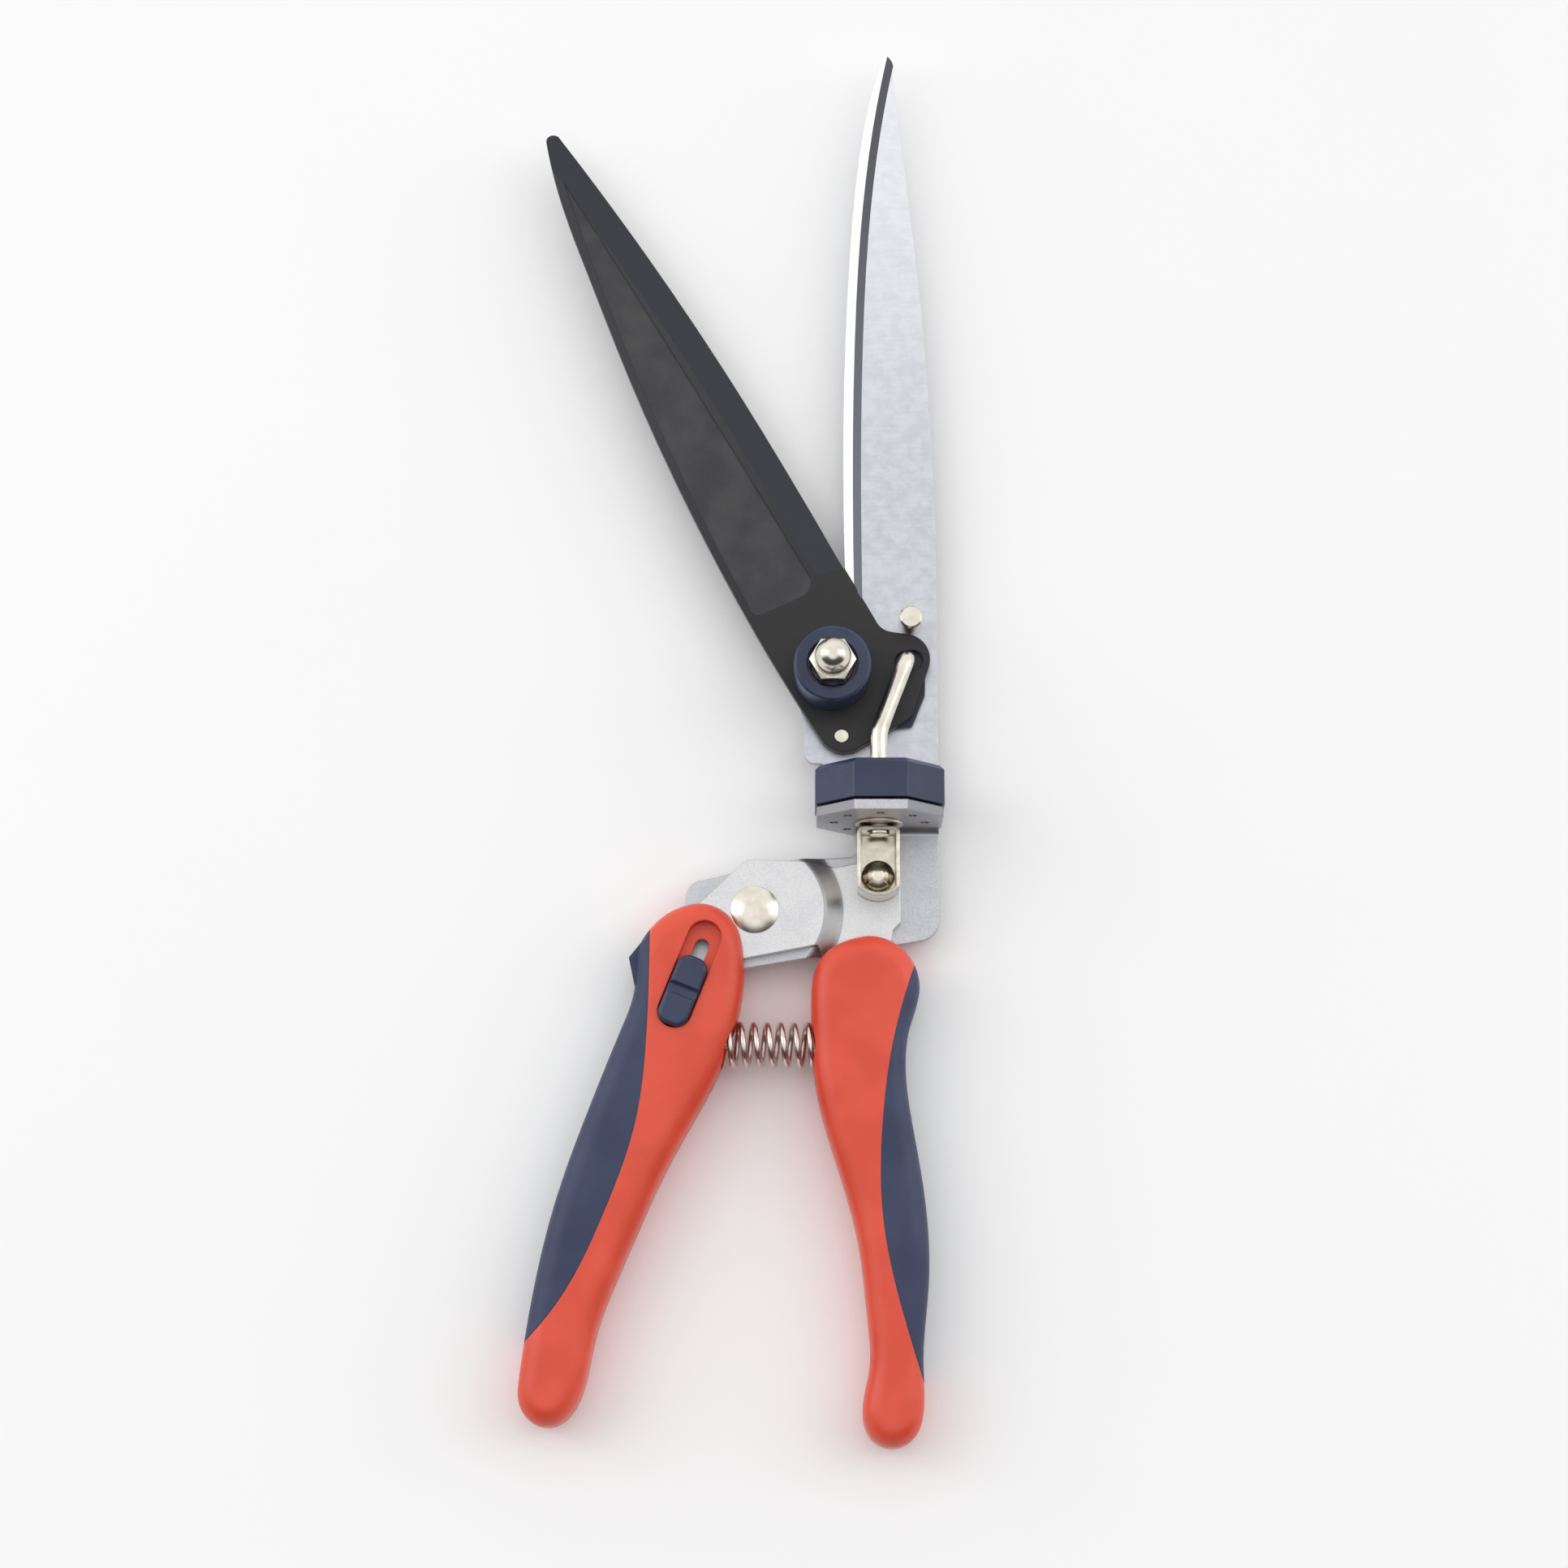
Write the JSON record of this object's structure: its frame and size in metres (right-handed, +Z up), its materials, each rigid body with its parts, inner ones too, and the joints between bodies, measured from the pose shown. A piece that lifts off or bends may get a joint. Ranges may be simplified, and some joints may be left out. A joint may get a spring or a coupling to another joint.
{
  "type": "swivel grass shears",
  "caption": "One-hand grass shears: two long blades on an octagonal swivel collar, a pull rod through its centre, and two sprung handles in line with the blades.",
  "frame": {"origin": "middle of the swivel collar's lowest flat, under the swivel axis", "axes": "+Y along the swivel axis towards the blade tips, +Z up from the surface that the shears lie on, +X to the right"},
  "size_m": [0.102, 0.3539, 0.034],
  "materials": {
    "blasted_steel": "fine sandblasted zinc plating",
    "orange_plastic": "satin moulded plastic",
    "navy_grip": "soft matt overmoulded grip",
    "navy_plastic": "satin moulded nylon",
    "nylon": "natural moulded nylon",
    "nickel": "bright nickel plating",
    "blade_steel": "ground steel with a bright land",
    "black_coating": "matt black non-stick coating"
  },
  "bodies": {
    "fixed_handle": {"frame_plate": "blasted_steel", "left_handle": "orange_plastic", "left_grip": "navy_grip", "main_rivet": "nickel", "rivet_washer": "nickel", "return_spring": "nickel"},
    "lock": {"lock_button": "navy_plastic", "lock_pin": "nickel"},
    "moving_handle": {"moving_plate": "blasted_steel", "right_handle": "orange_plastic", "right_grip": "navy_grip", "yoke_rivet": "nickel"},
    "yoke": {"yoke": "nickel"},
    "head": {"lower_blade": "blade_steel", "stop_pin": "nickel", "swivel_collar": "navy_plastic", "swivel_washer": "nylon", "swivel_eyelet": "nickel", "rod_guide": "nylon", "detent_balls": "nickel", "detent_springs": "nickel", "pivot_bush": "nickel", "pivot_cap": "navy_plastic", "tension_washer": "nickel", "tension_spring": "nickel", "nut_washer": "nickel", "acorn_nut": "nickel", "pivot_bolt": "nickel"},
    "upper_blade": {"upper_blade": "black_coating", "glide_pad": "nylon", "pad_rivet": "nickel"},
    "pull_rod": {"pull_rod": "nickel"}
  },
  "joints": [
    {"name": "handle_squeeze", "type": "hinge", "parent": "fixed_handle", "child": "moving_handle", "pos_m": [-0.0304, -0.029, 0.0085], "axis": [0, 0, -1], "range_deg": [0, 20], "stiffness_Nm_per_rad": 1.4, "springref_deg": -20.05, "deforming": ["return_spring"]},
    {"name": "yoke_turn", "type": "hinge", "parent": "moving_handle", "child": "yoke", "pos_m": [-0.0003, -0.0206, 0.0108], "axis": [0, 0, 1], "range_deg": [0, 20]},
    {"name": "head_swivel", "type": "hinge", "parent": "fixed_handle", "child": "head", "pos_m": [0, 0, 0.0157], "axis": [0, 1, 0], "continuous": true},
    {"name": "blade_close", "type": "hinge", "parent": "head", "child": "upper_blade", "pos_m": [-0.0114, 0.0304, 0.0107], "axis": [0, 0, -1], "range_deg": [0, 32]},
    {"name": "rod_pull", "type": "slide", "parent": "head", "child": "pull_rod", "axis": [0, -1, 0], "range_m": [0, 0.0108]},
    {"name": "lock_slide", "type": "slide", "parent": "fixed_handle", "child": "lock", "axis": [0.3698, 0.9291, 0], "range_m": [0, 0.008]}
  ],
  "couplings": [
    {"joint": "blade_close", "follows": "handle_squeeze", "ratio": 1.6},
    {"joint": "yoke_turn", "follows": "handle_squeeze", "ratio": 1},
    {"joint": "rod_pull", "follows": "handle_squeeze", "m_per_rad": 0.030944}
  ]
}
